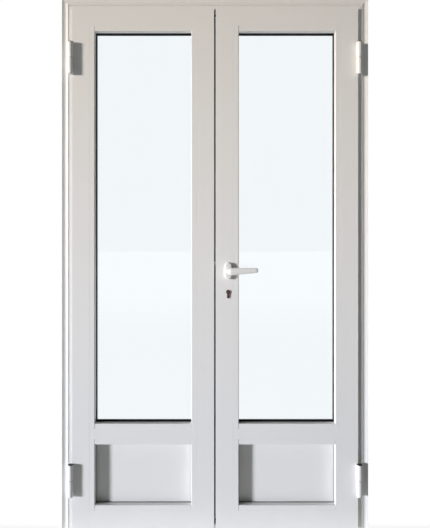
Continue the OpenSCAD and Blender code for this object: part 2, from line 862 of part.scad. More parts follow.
module spindle() {
    s = spindle_side / 2;
    color(steel) box([lock_x - s, leaf_y - rosette_t - spindle_end, spindle_z - s],
                     [lock_x + s, back_y - wall, spindle_z + s]);
}

// Oblong cover plate
module oblong_plate(y0, y1) {
    r = rosette_w / 2;
    dz = rosette_h / 2 - r;
    for (s = [-1, 1]) rod_y(lock_x, spindle_z + s * dz, r, y0, y1);
    box([lock_x - r, y0, spindle_z - dz], [lock_x + r, y1, spindle_z + dz]);
}

module rosette_inside() {
    y0 = leaf_y - rosette_t;
    color(white) difference() {
        oblong_plate(y0, leaf_y);
        rod_y(lock_x, spindle_z, hub_r + run_clear, y0 - eps, leaf_y + eps);
    }
}

module rosette_outside() color(white) oblong_plate(back_y, back_y + rosette_t);

// Fixed knob outside, on its neck
module knob_outside() {
    y0 = back_y + rosette_t;
    neck_len = 20;
    knob_len = 26;
    color(white) {
        rod_y(lock_x, spindle_z, hub_r + 2, y0, y0 + neck_len + 1);
        rod_y(lock_x, spindle_z, knob_r, y0 + neck_len, y0 + neck_len + knob_len);
    }
}

// Lever whose neck turns in the rosette
module lever_inside() {
    s = spindle_side / 2;
    neck = rosette_t + lever_reach - lever_t;
    h0 = rosette_w / 2;
    h1 = 8.5;
    translate([lock_x, leaf_y, spindle_z]) scale([1, -1, 1]) color(white) difference() {
        union() {
            rod_y(0, 0, hub_r, 1, neck + 1);
            rod_y(0, 0, h0, neck, neck + lever_t);
            plate(neck, neck + lever_t) polygon([
                [0, -h0], [0, h0], [lever_len - h1, h0], [lever_len - h1, h0 - 2 * h1]]);
            rod_y(lever_len - h1, h0 - h1, h1, neck, neck + lever_t);
        }
        box([-s, -eps, -s], [s, rosette_t + spindle_end, s]);
    }
}

module cylinder_body() {
    y0 = leaf_y - cylinder_proud;
    y1 = back_y + cylinder_proud;
    color(bronze) difference() {
        profile_hole(y0, y1, 0);
        rod_y(lock_x, cylinder_z, plug_r + run_clear, y0 - eps, y1 + eps);
        // gap for the cam
        box([lock_x - 20, lock_y - cam_t / 2 - slide_clear, cylinder_z - cam_r - 1],
            [lock_x + 20, lock_y + cam_t / 2 + slide_clear, cylinder_z + 20]);
    }
}

module cylinder_plugs() {
    y0 = leaf_y - cylinder_proud;
    y1 = back_y + cylinder_proud;
    color(bronze) for (p = [[y0, lock_y - cam_t / 2, y0], [lock_y + cam_t / 2, y1, y1 - key_deep]])
        difference() {
            rod_y(lock_x, cylinder_z, plug_r, p[0], p[1]);
            box([lock_x - key_slot[0] / 2, p[2] - eps, cylinder_z - key_slot[1] / 2],
                [lock_x + key_slot[0] / 2, p[2] + key_deep, cylinder_z + key_slot[1] / 2]);
        }
}

module cylinder_cam() {
    color(steel) {
        rod_y(lock_x, cylinder_z, 7.5, lock_y - cam_t / 2, lock_y + cam_t / 2);
        box([lock_x - 3, lock_y - cam_t / 2, cylinder_z],
            [lock_x + 3, lock_y + cam_t / 2, cylinder_z + cam_r]);
    }
}

// ---------------------------------------------------------------- the two leaves' pieces

module left_hinge_stile() hinge_stile(-1);
module left_top_rail() top_rail(-1);
module left_mid_rail() mid_rail(-1);
module left_bottom_rail() bottom_rail(-1);
module left_corner_cleats() leaf_corner_cleats(-1);
module left_glass_panes() glass_panes(-1);
module left_glass_spacer() glass_spacer(-1);
module left_glazing_seals() glazing_seals(-1);
module left_beads() beads(-1);
module left_panel() panel(-1);
module left_setting_blocks() setting_blocks(-1);
module left_lip_seal() lip_seal(-1);
module left_hinge_leaf_halves() hinge_leaf_halves(-1);
module left_hinge_caps() hinge_caps(-1);
module right_hinge_stile() hinge_stile(1);
module right_top_rail() top_rail(1);
module right_mid_rail() mid_rail(1);
module right_bottom_rail() bottom_rail(1);
module right_corner_cleats() leaf_corner_cleats(1);
module right_glass_panes() glass_panes(1);
module right_glass_spacer() glass_spacer(1);
module right_glazing_seals() glazing_seals(1);
module right_beads() beads(1);
module right_panel() panel(1);
module right_setting_blocks() setting_blocks(1);
module right_lip_seal() lip_seal(1);
module right_hinge_leaf_halves() hinge_leaf_halves(1);
module right_hinge_caps() hinge_caps(1);

frame_jamb_left();
frame_jamb_right();
frame_head();
threshold();
frame_corner_cleats();
frame_seal();
bolt_keeps();
hinge_frame_halves();
hinge_pins();
hinge_washers();
hinge_foot_caps();
left_hinge_stile();
left_meeting_stile();
left_top_rail();
left_mid_rail();
left_bottom_rail();
left_corner_cleats();
left_glass_panes();
left_glass_spacer();
left_glazing_seals();
left_beads();
left_panel();
left_setting_blocks();
left_lip_seal();
left_hinge_leaf_halves();
left_hinge_caps();
left_meeting_seal();
left_strike_plate();
left_flush_bolt_top();
left_flush_bolt_bottom();
left_bolt_guides();
right_hinge_stile();
right_meeting_stile();
right_top_rail();
right_mid_rail();
right_bottom_rail();
right_corner_cleats();
right_glass_panes();
right_glass_spacer();
right_glazing_seals();
right_beads();
right_panel();
right_setting_blocks();
right_lip_seal();
right_hinge_leaf_halves();
right_hinge_caps();
lock_case();
lock_faceplate();
latch_bolt();
dead_bolt();
lock_follower();
spindle();
lever_inside();
knob_outside();
rosette_inside();
rosette_outside();
cylinder_body();
cylinder_plugs();
cylinder_cam();
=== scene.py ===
"""Looks of a two-leaf glazed door in its frame: coats, glass, rubber, lever, knob and hinges."""

import json
import math

import bpy
from bpy.props import FloatProperty, FloatVectorProperty, PointerProperty
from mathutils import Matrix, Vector


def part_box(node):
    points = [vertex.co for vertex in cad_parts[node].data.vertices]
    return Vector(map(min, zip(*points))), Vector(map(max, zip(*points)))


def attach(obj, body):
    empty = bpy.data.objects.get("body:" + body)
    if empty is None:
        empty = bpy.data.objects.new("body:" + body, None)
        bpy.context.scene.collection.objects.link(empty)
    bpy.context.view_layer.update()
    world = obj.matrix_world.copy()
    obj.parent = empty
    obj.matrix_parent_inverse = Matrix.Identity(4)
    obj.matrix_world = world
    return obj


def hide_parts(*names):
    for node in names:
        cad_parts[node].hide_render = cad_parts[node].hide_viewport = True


bl_info = {
    "name": "Glazed Door Pair Looks",
    "version": (1, 0, 0),
    "blender": (4, 5, 0),
    "location": "View3D > Sidebar > Door Pair",
    "description": "Finishes, lever, knob, rosettes and hinges of a two-leaf glazed door",
    "category": "Object",
}

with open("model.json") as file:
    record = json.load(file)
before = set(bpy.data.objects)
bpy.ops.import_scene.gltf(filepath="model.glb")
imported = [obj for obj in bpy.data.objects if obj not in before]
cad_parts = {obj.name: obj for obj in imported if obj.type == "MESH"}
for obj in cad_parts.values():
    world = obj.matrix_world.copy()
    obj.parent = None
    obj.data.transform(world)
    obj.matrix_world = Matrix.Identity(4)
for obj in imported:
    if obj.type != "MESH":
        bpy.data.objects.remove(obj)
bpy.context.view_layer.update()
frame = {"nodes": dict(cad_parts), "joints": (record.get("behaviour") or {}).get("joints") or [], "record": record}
NODES = frame["nodes"]
MM = 0.001
NEAR = 0.01 * MM  # places this close to each other count as the same
KNUCKLE_R = 11 * MM
KNUCKLE_LEN = 61.5 * MM
CAP_R = KNUCKLE_R - 0.3 * MM
CAP_RIM = 0.7 * MM
CAP_T = 2 * MM
WARM_WHITE = (1.0, 0.85, 0.68)
COOL_WHITE = (0.84, 0.885, 1.0)
FILL_WHITE = (0.97, 1.03, 0.95, 1)


def centre_of(node):
    """Middle of a CAD node's box."""
    low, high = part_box(node)
    return (Vector(low) + Vector(high)) / 2


# ------------------------------------------------------------------ settings


class CoatSettings(bpy.types.PropertyGroup):
    """Colours and roughness of the coated metal."""

    white: FloatVectorProperty(
        name="Coat colour", description="Colour of the powder coat", subtype="COLOR",
        size=3, min=0, max=1, default=(0.80, 0.80, 0.79))
    lever: FloatVectorProperty(
        name="Lever colour", description="Colour of the lever, the knob and the rosettes",
        subtype="COLOR", size=3, min=0, max=1, default=(0.80, 0.80, 0.78))
    roughness: FloatProperty(
        name="Coat roughness", description="Roughness of the powder coat",
        min=0.1, max=0.9, default=0.38)


class GlassSettings(bpy.types.PropertyGroup):
    """Tint of the panes."""

    tint: FloatVectorProperty(
        name="Glass tint", description="Colour of light seen through a pane",
        subtype="COLOR", size=3, min=0, max=1, default=(0.974, 0.985, 0.992))


class HardwareSettings(bpy.types.PropertyGroup):
    """Sizes of the modelled lever, rosettes and hinges."""

    lever_thick: FloatProperty(
        name="Grip thickness", description="Thickness of the lever's grip",
        unit="LENGTH", min=0.006, max=0.014, default=0.0095)
    rim: FloatProperty(
        name="Rosette rim", description="Rounding of a rosette's front edge",
        unit="LENGTH", min=0.0005, max=0.005, default=0.0028)
    knuckle_rim: FloatProperty(
        name="Knuckle rim", description="Rounding of a hinge knuckle's ends",
        unit="LENGTH", min=0.0002, max=0.002, default=0.0012)


class StageSettings(bpy.types.PropertyGroup):
    """Light on the door and brightness behind it."""

    warm: FloatProperty(
        name="Upper light", description="Power of the warm light on the upper half",
        unit="POWER", min=0, max=60000, default=10300)
    cool: FloatProperty(
        name="Lower light", description="Power of the cool light on the lower half",
        unit="POWER", min=0, max=60000, default=15500)
    fill: FloatProperty(
        name="Fill strength", description="Strength of the light from all round",
        min=0, max=2, default=0.065)
    white: FloatProperty(
        name="Background white", description="Brightness of the background",
        min=0, max=2, default=1.03)


def settings():
    """All the door's settings."""
    return bpy.context.scene


# ------------------------------------------------------------------ shader maths


class Value:
    """A shader socket that can be used in sums. Each operator adds one Math node."""

    def __init__(self, tree, socket):
        self.tree = tree
        self.socket = socket

    def math(self, operation, *others):
        """This value and others through one Math node."""
        node = self.tree.nodes.new("ShaderNodeMath")
        node.operation = operation
        for entry, value in zip(node.inputs, (self, *others)):
            if isinstance(value, Value):
                self.tree.links.new(value.socket, entry)
            else:
                entry.default_value = value
        return Value(self.tree, node.outputs[0])

    def reflected(self, operation, other):
        """The number other, then this value, through one Math node."""
        node = self.tree.nodes.new("ShaderNodeMath")
        node.operation = operation
        node.inputs[0].default_value = other
        self.tree.links.new(self.socket, node.inputs[1])
        return Value(self.tree, node.outputs[0])

    def __add__(self, other):
        return self.math("ADD", other)

    __radd__ = __add__

    def __sub__(self, other):
        return self.math("SUBTRACT", other)

    def __rsub__(self, other):
        return self.reflected("SUBTRACT", other)

    def __mul__(self, other):
        return self.math("MULTIPLY", other)

    __rmul__ = __mul__

    def __truediv__(self, other):
        return self.math("DIVIDE", other)

    def clamped(self):
        """This value kept between 0 and 1."""
        low = self.math("MAXIMUM", 0.0)
        return low.math("MINIMUM", 1.0)


class Finish:
    """A procedural material while it is built, with one Principled shader."""

    def __init__(self, name):
        self.material = bpy.data.materials.new(name)
        self.material.use_nodes = True
        self.tree = self.material.node_tree
        self.tree.nodes.clear()
        self.shader = self.node("ShaderNodeBsdfPrincipled")
        self.output = self.node("ShaderNodeOutputMaterial", inputs={
            "Surface": self.shader.outputs[0]})
        self.place = self.node("ShaderNodeTexCoord").outputs["Object"]

    def node(self, kind, choices=None, inputs=None):
        """A node of this kind. Its choices are set first, then inputs are set or linked."""
        made = self.tree.nodes.new(kind)
        for name, value in (choices or {}).items():
            if name == "stops":
                ramp = made.color_ramp
                while len(ramp.elements) < len(value):
                    ramp.elements.new(1.0)
                for element, (position, grey) in zip(ramp.elements, value):
                    element.position = position
                    element.color = (grey, grey, grey, 1)
            else:
                setattr(made, name, value)
        for name, value in (inputs or {}).items():
            self.feed(made.inputs[name], value)
        return made

    def feed(self, entry, value):
        """Links a value to a socket, or sets the socket."""
        if isinstance(value, Value):
            self.tree.links.new(value.socket, entry)
        elif isinstance(value, bpy.types.NodeSocket):
            self.tree.links.new(value, entry)
        elif hasattr(value, "__len__") and len(value) == 3 and entry.type == "RGBA":
            entry.default_value = (*value, 1)
        else:
            entry.default_value = value

    def set(self, **values):
        """Sets or links the shader's sockets, named with underscores for spaces."""
        for name, value in values.items():
            self.feed(self.shader.inputs[name.replace("_", " ")], value)

    def stretched(self, scale):
        """Object coordinates scaled along each axis."""
        return self.node("ShaderNodeMapping", inputs={
            "Vector": self.place, "Scale": scale}).outputs[0]

    def noise(self, scale, detail=2.0, roughness=0.5, vector=None):
        """Soft noise between 0 and 1, with scale counted per metre."""
        made = self.node("ShaderNodeTexNoise", inputs={
            "Vector": vector or self.place, "Scale": scale, "Detail": detail,
            "Roughness": roughness})
        return Value(self.tree, made.outputs[0])

    def grains(self, scale, vector=None):
        """Distance to the middle of the nearest grain, with scale counted per metre."""
        made = self.node("ShaderNodeTexVoronoi", inputs={
            "Vector": vector or self.place, "Scale": scale})
        return Value(self.tree, made.outputs["Distance"])

    def ramp(self, value, stops):
        """A value through a grey ramp."""
        made = self.node("ShaderNodeValToRGB", {"stops": stops}, {"Fac": value})
        return Value(self.tree, made.outputs[0])

    def along(self, axis):
        """The Object coordinate along one axis, in metres."""
        parts = self.node("ShaderNodeSeparateXYZ", inputs={"Vector": self.place})
        return Value(self.tree, parts.outputs[axis])

    def blend(self, factor, first, second):
        """Two colours mixed by a factor."""
        made = self.node("ShaderNodeMix", {"data_type": "RGBA"})
        self.feed(made.inputs[0], factor)
        self.feed(made.inputs[6], first)
        self.feed(made.inputs[7], second)
        return made.outputs[2]

    def bump(self, height, distance, strength=1.0):
        """Raises the surface by a height between 0 and 1 times distance in metres."""
        made = self.node("ShaderNodeBump", inputs={
            "Height": height, "Distance": distance, "Strength": strength})
        self.feed(self.shader.inputs["Normal"], made.outputs[0])


# ------------------------------------------------------------------ finishes


def scaled(colour, share):
    """A colour with each channel times share."""
    return tuple(channel * share for channel in colour)


def powder_coat(name, colour, roughness, peel=1.0):
    """Sprayed and baked powder: a fine orange peel and a faint unevenness of colour."""
    coat = Finish(name)
    cloud = coat.noise(2.3, detail=3.0)
    speck = coat.noise(950, detail=1.0)
    skin = coat.noise(620, detail=2.0, roughness=0.45)
    swell = coat.noise(70, detail=1.0)
    dusty_height = 0.25
    low_down = (1 - coat.along("Z") / dusty_height).clamped()
    dust = low_down * coat.noise(14, detail=4.0) * 0.35
    shade = (cloud * 0.6 + speck * 0.25).clamped()
    clean = coat.blend(shade, scaled(colour, 1.012), scaled(colour, 0.972))
    coat.set(
        Base_Color=coat.blend(dust, clean, (0.60, 0.58, 0.54)),
        Roughness=cloud * 0.08 + speck * 0.05 + (roughness - 0.06),
        Specular_IOR_Level=0.45,
        Coat_Weight=0.08,
        Coat_Roughness=0.25,
    )
    coat.bump(skin * 0.7 + swell * 0.3, 0.00009 * peel, 0.55)
    return coat.material


def panel_skin(colour):
    """Smooth coated sheet on the kick panels, very slightly wavy."""
    skin = Finish("panel skin")
    wave = skin.noise(5.5, detail=1.0)
    fine = skin.noise(700, detail=1.0)
    smear = skin.noise(9, detail=4.0, vector=skin.stretched((1, 1, 0.4)))
    skin.set(
        Base_Color=skin.blend(smear * 0.5, scaled(colour, 1.0), scaled(colour, 0.975)),
        Roughness=smear * 0.12 + 0.28,
        Specular_IOR_Level=0.45,
    )
    skin.bump(wave * 0.8 + fine * 0.02, 0.0007, 0.35)
    return skin.material


def mill_alloy(name, grey, along):
    """Bare anodised alloy with die lines along its length."""
    alloy = Finish(name)
    lines = alloy.noise(900, detail=3.0, vector=alloy.stretched(along))
    patches = alloy.noise(6, detail=3.0)
    alloy.set(
        Base_Color=alloy.blend(lines * 0.5 + patches * 0.2, (grey, grey, grey * 1.01),
                               (grey * 0.86, grey * 0.86, grey * 0.86)),
        Metallic=1.0,
        Roughness=lines * 0.16 + patches * 0.08 + 0.26,
    )
    alloy.bump(lines, 0.00004, 0.5)
    return alloy.material


def black_rubber():
    """Extruded rubber seal: dull, with grey bloom and a little dust."""
    rubber = Finish("black rubber")
    bloom = rubber.noise(38, detail=4.0)
    pores = rubber.noise(1400, detail=1.0)
    rubber.set(
        Base_Color=rubber.blend(bloom, (0.011, 0.011, 0.012), (0.030, 0.030, 0.031)),
        Roughness=bloom * 0.18 + 0.56,
        Specular_IOR_Level=0.35,
    )
    rubber.bump(pores, 0.00006, 0.6)
    return rubber.material


def moulded_plastic(name, colour, roughness):
    """Moulded plastic with a spark-eroded grain."""
    plastic = Finish(name)
    grain = plastic.grains(1500)
    wear = plastic.noise(60, detail=3.0)
    plastic.set(
        Base_Color=plastic.blend(wear, colour, scaled(colour, 1.35)),
        Roughness=wear * 0.12 + roughness,
    )
    plastic.bump(grain, 0.00005, 0.5)
    return plastic.material


def brushed_steel():
    """Stainless steel brushed up and down, with soft blotches."""
    steel = Finish("brushed steel")
    brush = steel.noise(1100, detail=3.0, vector=steel.stretched((1, 1, 0.03)))
    blotch = steel.noise(24, detail=3.0)
    steel.set(
        Base_Color=steel.blend(brush * 0.6 + blotch * 0.2, (0.60, 0.60, 0.61),
                               (0.47, 0.47, 0.48)),
        Metallic=1.0,
        Roughness=brush * 0.18 + blotch * 0.08 + 0.24,
    )
    steel.bump(brush, 0.00003, 0.5)
    return steel.material


def dark_bronze():
    """Old browned brass of the profile cylinder, rubbed brighter here and there."""
    bronze = Finish("dark bronze")
    patina = bronze.noise(170, detail=4.0)
    rub = bronze.ramp(bronze.noise(90, detail=2.0), [(0.55, 0.0), (0.75, 1.0)])
    brown = bronze.blend(patina, (0.085, 0.042, 0.040), (0.135, 0.072, 0.066))
    bronze.set(
        Base_Color=bronze.blend(rub * 0.35, brown, (0.30, 0.20, 0.10)),
        Metallic=0.25,
        Roughness=patina * 0.2 + 0.34,
    )
    bronze.bump(patina, 0.00008, 0.4)
    return bronze.material


def window_glass(tint):
    """Clear float glass: a faint tint on what is behind it, and a weak mirror on top."""
    glass = Finish("window glass")
    smear = glass.noise(3.0, detail=3.0, vector=glass.stretched((1, 1, 0.3)))
    fresnel = glass.node("ShaderNodeFresnel", inputs={"IOR": 1.45})
    mirror = Value(glass.tree, fresnel.outputs[0])
    mirror_share = 0.3
    smear_share = 0.004
    glass.set(Base_Color=(1.0, 1.0, 1.0), Metallic=1.0, Roughness=0.02)
    clear = glass.node("ShaderNodeBsdfTransparent", inputs={"Color": tint})
    mixed = glass.node("ShaderNodeMixShader")
    glass.feed(mixed.inputs[0], (mirror * mirror_share + smear * smear_share).clamped())
    glass.feed(mixed.inputs[1], clear.outputs[0])
    glass.feed(mixed.inputs[2], glass.shader.outputs[0])
    glass.feed(glass.output.inputs["Surface"], mixed.outputs[0])
    return glass.material


# ------------------------------------------------------------------ edit helpers


def start_clean():
    """Leaves edit mode and deselects every object."""
    if bpy.context.object and bpy.context.object.mode != "OBJECT":
        bpy.ops.object.mode_set(mode="OBJECT")
    bpy.ops.object.select_all(action="DESELECT")


def take(piece, name=None):
    """Makes a piece the only selected one, and names it and its mesh."""
    start_clean()
    piece.select_set(True)
    bpy.context.view_layer.objects.active = piece
    if name:
        piece.name = name
        piece.data.name = name
    return piece


def settle(piece):
    """Puts the object at the origin, unturned and unscaled, with its place in its mesh."""
    take(piece)
    bpy.ops.object.transform_apply(location=True, rotation=True, scale=True)
    return piece


def pick(piece, wanted, kind="VERT"):
    """In edit mode, selects the vertices, edges or faces that wanted accepts."""
    bpy.ops.object.mode_set(mode="EDIT")
    bpy.ops.mesh.select_mode(type=kind)
    bpy.ops.mesh.select_all(action="DESELECT")
    bpy.ops.object.mode_set(mode="OBJECT")
    mesh = piece.data
    if kind == "VERT":
        for vertex in mesh.vertices:
            vertex.select = wanted(vertex.co)
    elif kind == "EDGE":
        for edge in mesh.edges:
            ends = [mesh.vertices[i].co for i in edge.vertices]
            edge.select = wanted(*ends)
    else:
        for face in mesh.polygons:
            face.select = wanted(face.center, face.normal)
    bpy.ops.object.mode_set(mode="EDIT")


def turn(angle, axis, centre):
    """Turns what is selected by the right-hand rule about a point."""
    bpy.ops.transform.rotate(value=-angle, orient_axis=axis, orient_type="GLOBAL",
                             center_override=centre)


def close_up(piece, sharp=math.radians(35)):
    """Merges doubles, points the faces outwards and shades by angle."""
    bpy.ops.object.mode_set(mode="EDIT")
    bpy.ops.mesh.select_all(action="SELECT")
    bpy.ops.mesh.remove_doubles(threshold=1e-6)
    bpy.ops.mesh.normals_make_consistent(inside=False)
    bpy.ops.object.mode_set(mode="OBJECT")
    bpy.ops.object.shade_smooth_by_angle(angle=sharp)


def finished(piece, body, slot, material, *replaced):
    """Gives a piece its material, its body and the CAD nodes that it stands for."""
    piece.data.materials.clear()
    piece.data.materials.append(material)
    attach(piece, body)
    if replaced:
        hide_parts(*replaced)


def apply_modifier(piece, kind, **values):
    """Adds a modifier with these values and applies it."""
    take(piece)
    bpy.ops.object.modifier_add(type=kind)
    modifier = piece.modifiers[-1]
    for name, value in values.items():
        setattr(modifier, name, value)
    bpy.ops.object.modifier_apply(modifier=modifier.name)


def joined(pieces, name):
    """Joins pieces into one object with this name."""
    start_clean()
    for piece in pieces:
        piece.select_set(True)
    bpy.context.view_layer.objects.active = pieces[0]
    bpy.ops.object.join()
    return take(bpy.context.view_layer.objects.active, name)


def copied(piece, shift=(0, 0, 0), flip=None):
    """A copy with its own mesh, moved, or mirrored across a plane given as (axis, place)."""
    take(piece)
    bpy.ops.object.duplicate(linked=False)
    copy = bpy.context.view_layer.objects.active
    bpy.ops.object.mode_set(mode="EDIT")
    bpy.ops.mesh.select_all(action="SELECT")
    if flip:
        axis, place = flip
        centre = [0, 0, 0]
        centre[axis] = place
        factor = [1, 1, 1]
        factor[axis] = -1
        bpy.ops.transform.resize(value=factor, orient_type="GLOBAL", center_override=centre)
        bpy.ops.mesh.normals_make_consistent(inside=False)
    bpy.ops.transform.translate(value=shift)
    bpy.ops.object.mode_set(mode="OBJECT")
    return copy


# ------------------------------------------------------------------ pieces

MATERIALS = {}


def make_materials():
    """Every finish, under the name of the record's slot that it dresses."""
    coat = settings().door_coat
    glass = settings().door_glass
    MATERIALS.update(
        white_coat=powder_coat("white powder coat", coat.white, coat.roughness),
        hinge_coat=powder_coat("hinge coat", scaled(coat.white, 1.02), 0.34, 0.6),
        lever_coat=powder_coat("lever coat", coat.lever, 0.30, 0.4),
        panel_skin=panel_skin(coat.white),
        mill_alloy=mill_alloy("anodised alloy", 0.66, (0.02, 1, 1)),
        spacer_alloy=mill_alloy("spacer alloy", 0.52, (1, 1, 0.02)),
        clear_glass=window_glass(glass.tint),
        black_rubber=black_rubber(),
        black_plastic=moulded_plastic("black cap plastic", (0.018, 0.018, 0.019), 0.42),
        nylon=moulded_plastic("grey nylon", (0.11, 0.115, 0.12), 0.5),
        steel=brushed_steel(),
        bronze=dark_bronze(),
    )


class DOOR_OT_finishes(bpy.types.Operator):
    """Makes the finishes and puts them on the CAD nodes"""

    bl_idname = "door.finishes"
    bl_label = "Finishes"

    def execute(self, context):
        make_materials()
        slots = {row["node"]: row["material_slot"] for row in frame["record"]["subparts"]}
        for name, node in NODES.items():
            if not node.material_slots:
                node.data.materials.append(None)
            for entry in node.material_slots:
                entry.material = MATERIALS[slots[name]]
        return {"FINISHED"}


def lever_piece(name):
    """The room-side lever: a neck, a swept bend and a tapering grip with a round end."""
    low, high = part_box("lever_inside")
    pivot = centre_of("spindle")
    thick = settings().door_hardware.lever_thick
    neck_r = 9 * MM
    bend_r = thick / 2 + 9 * MM
    # the smoothing at the end draws the grip in, so it starts a little too tall
    drawn_in = 0.5 * MM
    extra = 1.05
    tall = (high[2] - low[2]) / 2 * extra
    top = high[2] + drawn_in
    end_tall = 20 * MM
    set_back = 0.5 * MM
    front = low[1] + thick / 2 + set_back
    start_clean()
    bpy.ops.mesh.primitive_circle_add(
        vertices=16, radius=neck_r, fill_type="NGON", rotation=(math.pi / 2, 0, 0),
        location=(pivot.x, high[1], pivot.z))
    piece = settle(bpy.context.object)
    bpy.ops.object.mode_set(mode="EDIT")
    bpy.ops.mesh.select_all(action="SELECT")

    centre = Vector((pivot.x, high[1], pivot.z))
    bend_y = front + bend_r

    def step_on(shift, size=(1, 1, 1)):
        """Extrudes the open end by shift and sizes it about its new middle."""
        nonlocal centre
        bpy.ops.mesh.extrude_region_move(TRANSFORM_OT_translate={"value": shift})
        centre = centre + Vector(shift)
        bpy.ops.transform.resize(value=size, orient_type="GLOBAL", center_override=centre)

    # short steps at both ends of the neck keep those rings firm when it's smoothed
    first_step = 0.4 * MM
    step_on((0, -first_step, 0))
    straight = bend_y - centre.y
    for share in (0.08, 0.42, 0.40, 0.10):
        step_on((0, straight * share, 0))
    # the bend, where the round neck widens into the flat grip
    hub = Vector((pivot.x + bend_r, bend_y, pivot.z))
    steps = 5
    taller = (tall / neck_r) ** (1 / steps)
    flatter = (thick / 2 / neck_r) ** (1 / steps)
    for count in range(steps):
        bpy.ops.mesh.extrude_region_move(TRANSFORM_OT_translate={"value": (0, 0, 0)})
        turn(math.pi / 2 / steps, "Z", hub)
        angle = math.pi / 2 * (count + 1) / steps
        spoke = Vector((-math.cos(angle), -math.sin(angle), 0)) * bend_r
        centre = hub + spoke
        bpy.ops.transform.resize(value=(1, 1, taller), orient_type="GLOBAL",
                                 center_override=centre)
        squeeze = [1 + (flatter - 1) * abs(part) for part in spoke.normalized()]
        bpy.ops.transform.resize(value=(squeeze[0], squeeze[1], 1), orient_type="GLOBAL",
                                 center_override=centre)
    # the grip: its top stays level while its height shrinks
    tip = high[0]
    end_r = end_tall / 2
    run = tip - end_r * 0.9 - centre.x
    height = tall * 2
    grip_steps = 6
    thinner = 0.985
    for count in range(grip_steps):
        wanted = tall * 2 + (end_tall - tall * 2) * (count + 1) / grip_steps
        rise = (top - wanted / 2) - centre.z if count else 0
        step_on((run / grip_steps, 0, rise), (1, thinner, wanted / height))
        height = wanted
    # the round end: how far each ring goes on, as a share of the end's radius, and its size
    end_rings = ((0.42, 0.9), (0.30, 0.75), (0.20, 0.55))
    thinning = 0.7
    for forward, size in end_rings:
        step_on((end_r * forward, 0, 0), (1, 1 - (1 - size) * thinning, size))
    bpy.ops.object.mode_set(mode="OBJECT")
    apply_modifier(piece, "SUBSURF", levels=2, render_levels=2)
    close_up(piece, math.radians(50))
    return take(piece, name)


class DOOR_OT_lever(bpy.types.Operator):
    """Models the room-side lever"""

    bl_idname = "door.lever"
    bl_label = "Lever"

    def execute(self, context):
        lever = lever_piece("lever")
        finished(lever, "lever_set", "lever_coat", MATERIALS["lever_coat"], "lever_inside")
        return {"FINISHED"}


class DOOR_OT_knob(bpy.types.Operator):
    """Models the fixed outside knob with its neck"""

    bl_idname = "door.knob"
    bl_label = "Knob"

    def execute(self, context):
        low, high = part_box("knob_outside")
        middle = centre_of("knob_outside")
        radius = (high[0] - low[0]) / 2
        length = high[1] - low[1]
        # radius as a share of the knob's, and place along its length
        profile = ((0.50, 0.0), (0.50, 0.06), (0.42, 0.12), (0.38, 0.26), (0.44, 0.38),
                   (0.72, 0.47), (0.92, 0.54), (1.0, 0.66), (0.985, 0.78), (0.90, 0.88),
                   (0.70, 0.955), (0.40, 0.99), (0.12, 1.0))
        start_clean()
        bpy.ops.mesh.primitive_circle_add(
            vertices=64, radius=radius * profile[0][0], fill_type="NGON",
            location=(middle.x, low[1], middle.z), rotation=(math.pi / 2, 0, 0))
        knob = settle(bpy.context.object)
        bpy.ops.object.mode_set(mode="EDIT")
        bpy.ops.mesh.select_all(action="SELECT")
        for (size, place), (wider, further) in zip(profile, profile[1:]):
            bpy.ops.mesh.extrude_region_move(
                TRANSFORM_OT_translate={"value": (0, (further - place) * length, 0)})
            centre = (middle.x, low[1] + further * length, middle.z)
            bpy.ops.transform.resize(value=(wider / size, 1, wider / size),
                                     orient_type="GLOBAL", center_override=centre)
        bpy.ops.object.mode_set(mode="OBJECT")
        close_up(knob, math.radians(30))
        take(knob, "knob")
        finished(knob, "right_leaf", "lever_coat", MATERIALS["lever_coat"], "knob_outside")
        return {"FINISHED"}


def rosette_piece(node, name, front):
    """An oblong cover plate with a rounded front rim. Front is -1 on the room side."""
    low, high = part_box(node)
    middle = centre_of(node)
    radius = (high[0] - low[0]) / 2
    rise = (high[2] - low[2]) / 2 - radius
    face = low[1] if front < 0 else high[1]
    rim = settings().door_hardware.rim
    start_clean()
    # 46 sides leave no vertex on the plate's middle line, so its halves slide apart cleanly
    bpy.ops.mesh.primitive_cylinder_add(
        vertices=46, radius=radius, depth=high[1] - low[1], location=middle,
        rotation=(math.pi / 2, 0, 0))
    piece = settle(bpy.context.object)
    for side in (-1, 1):
        pick(piece, lambda co: (co.z - middle.z) * side > 0)
        bpy.ops.transform.translate(value=(0, 0, rise * side))
        bpy.ops.object.mode_set(mode="OBJECT")
    pick(piece, lambda a, b: abs(a.y - face) < NEAR and abs(b.y - face) < NEAR, "EDGE")
    bpy.ops.mesh.bevel(offset=rim, segments=4)
    bpy.ops.object.mode_set(mode="OBJECT")
    # a slightly raised pad inside the rim
    pad_rise = 0.25 * MM
    pick(piece, lambda centre, normal: abs(centre.y - face) < NEAR, "FACE")
    bpy.ops.mesh.inset(thickness=rim * 0.5)
    bpy.ops.transform.translate(value=(0, pad_rise * front, 0))
    bpy.ops.object.mode_set(mode="OBJECT")
    close_up(piece, math.radians(40))
    return take(piece, name)


class DOOR_OT_rosettes(bpy.types.Operator):
    """Models the cover plates under the lever and the knob"""

    bl_idname = "door.rosettes"
    bl_label = "Rosettes"

    def execute(self, context):
        coat = MATERIALS["lever_coat"]
        for node, name, front in (("rosette_inside", "rosette_room_side", -1),
                                  ("rosette_outside", "rosette_garden_side", 1)):
            piece = rosette_piece(node, name, front)
            finished(piece, "right_leaf", "lever_coat", coat, node)
        return {"FINISHED"}


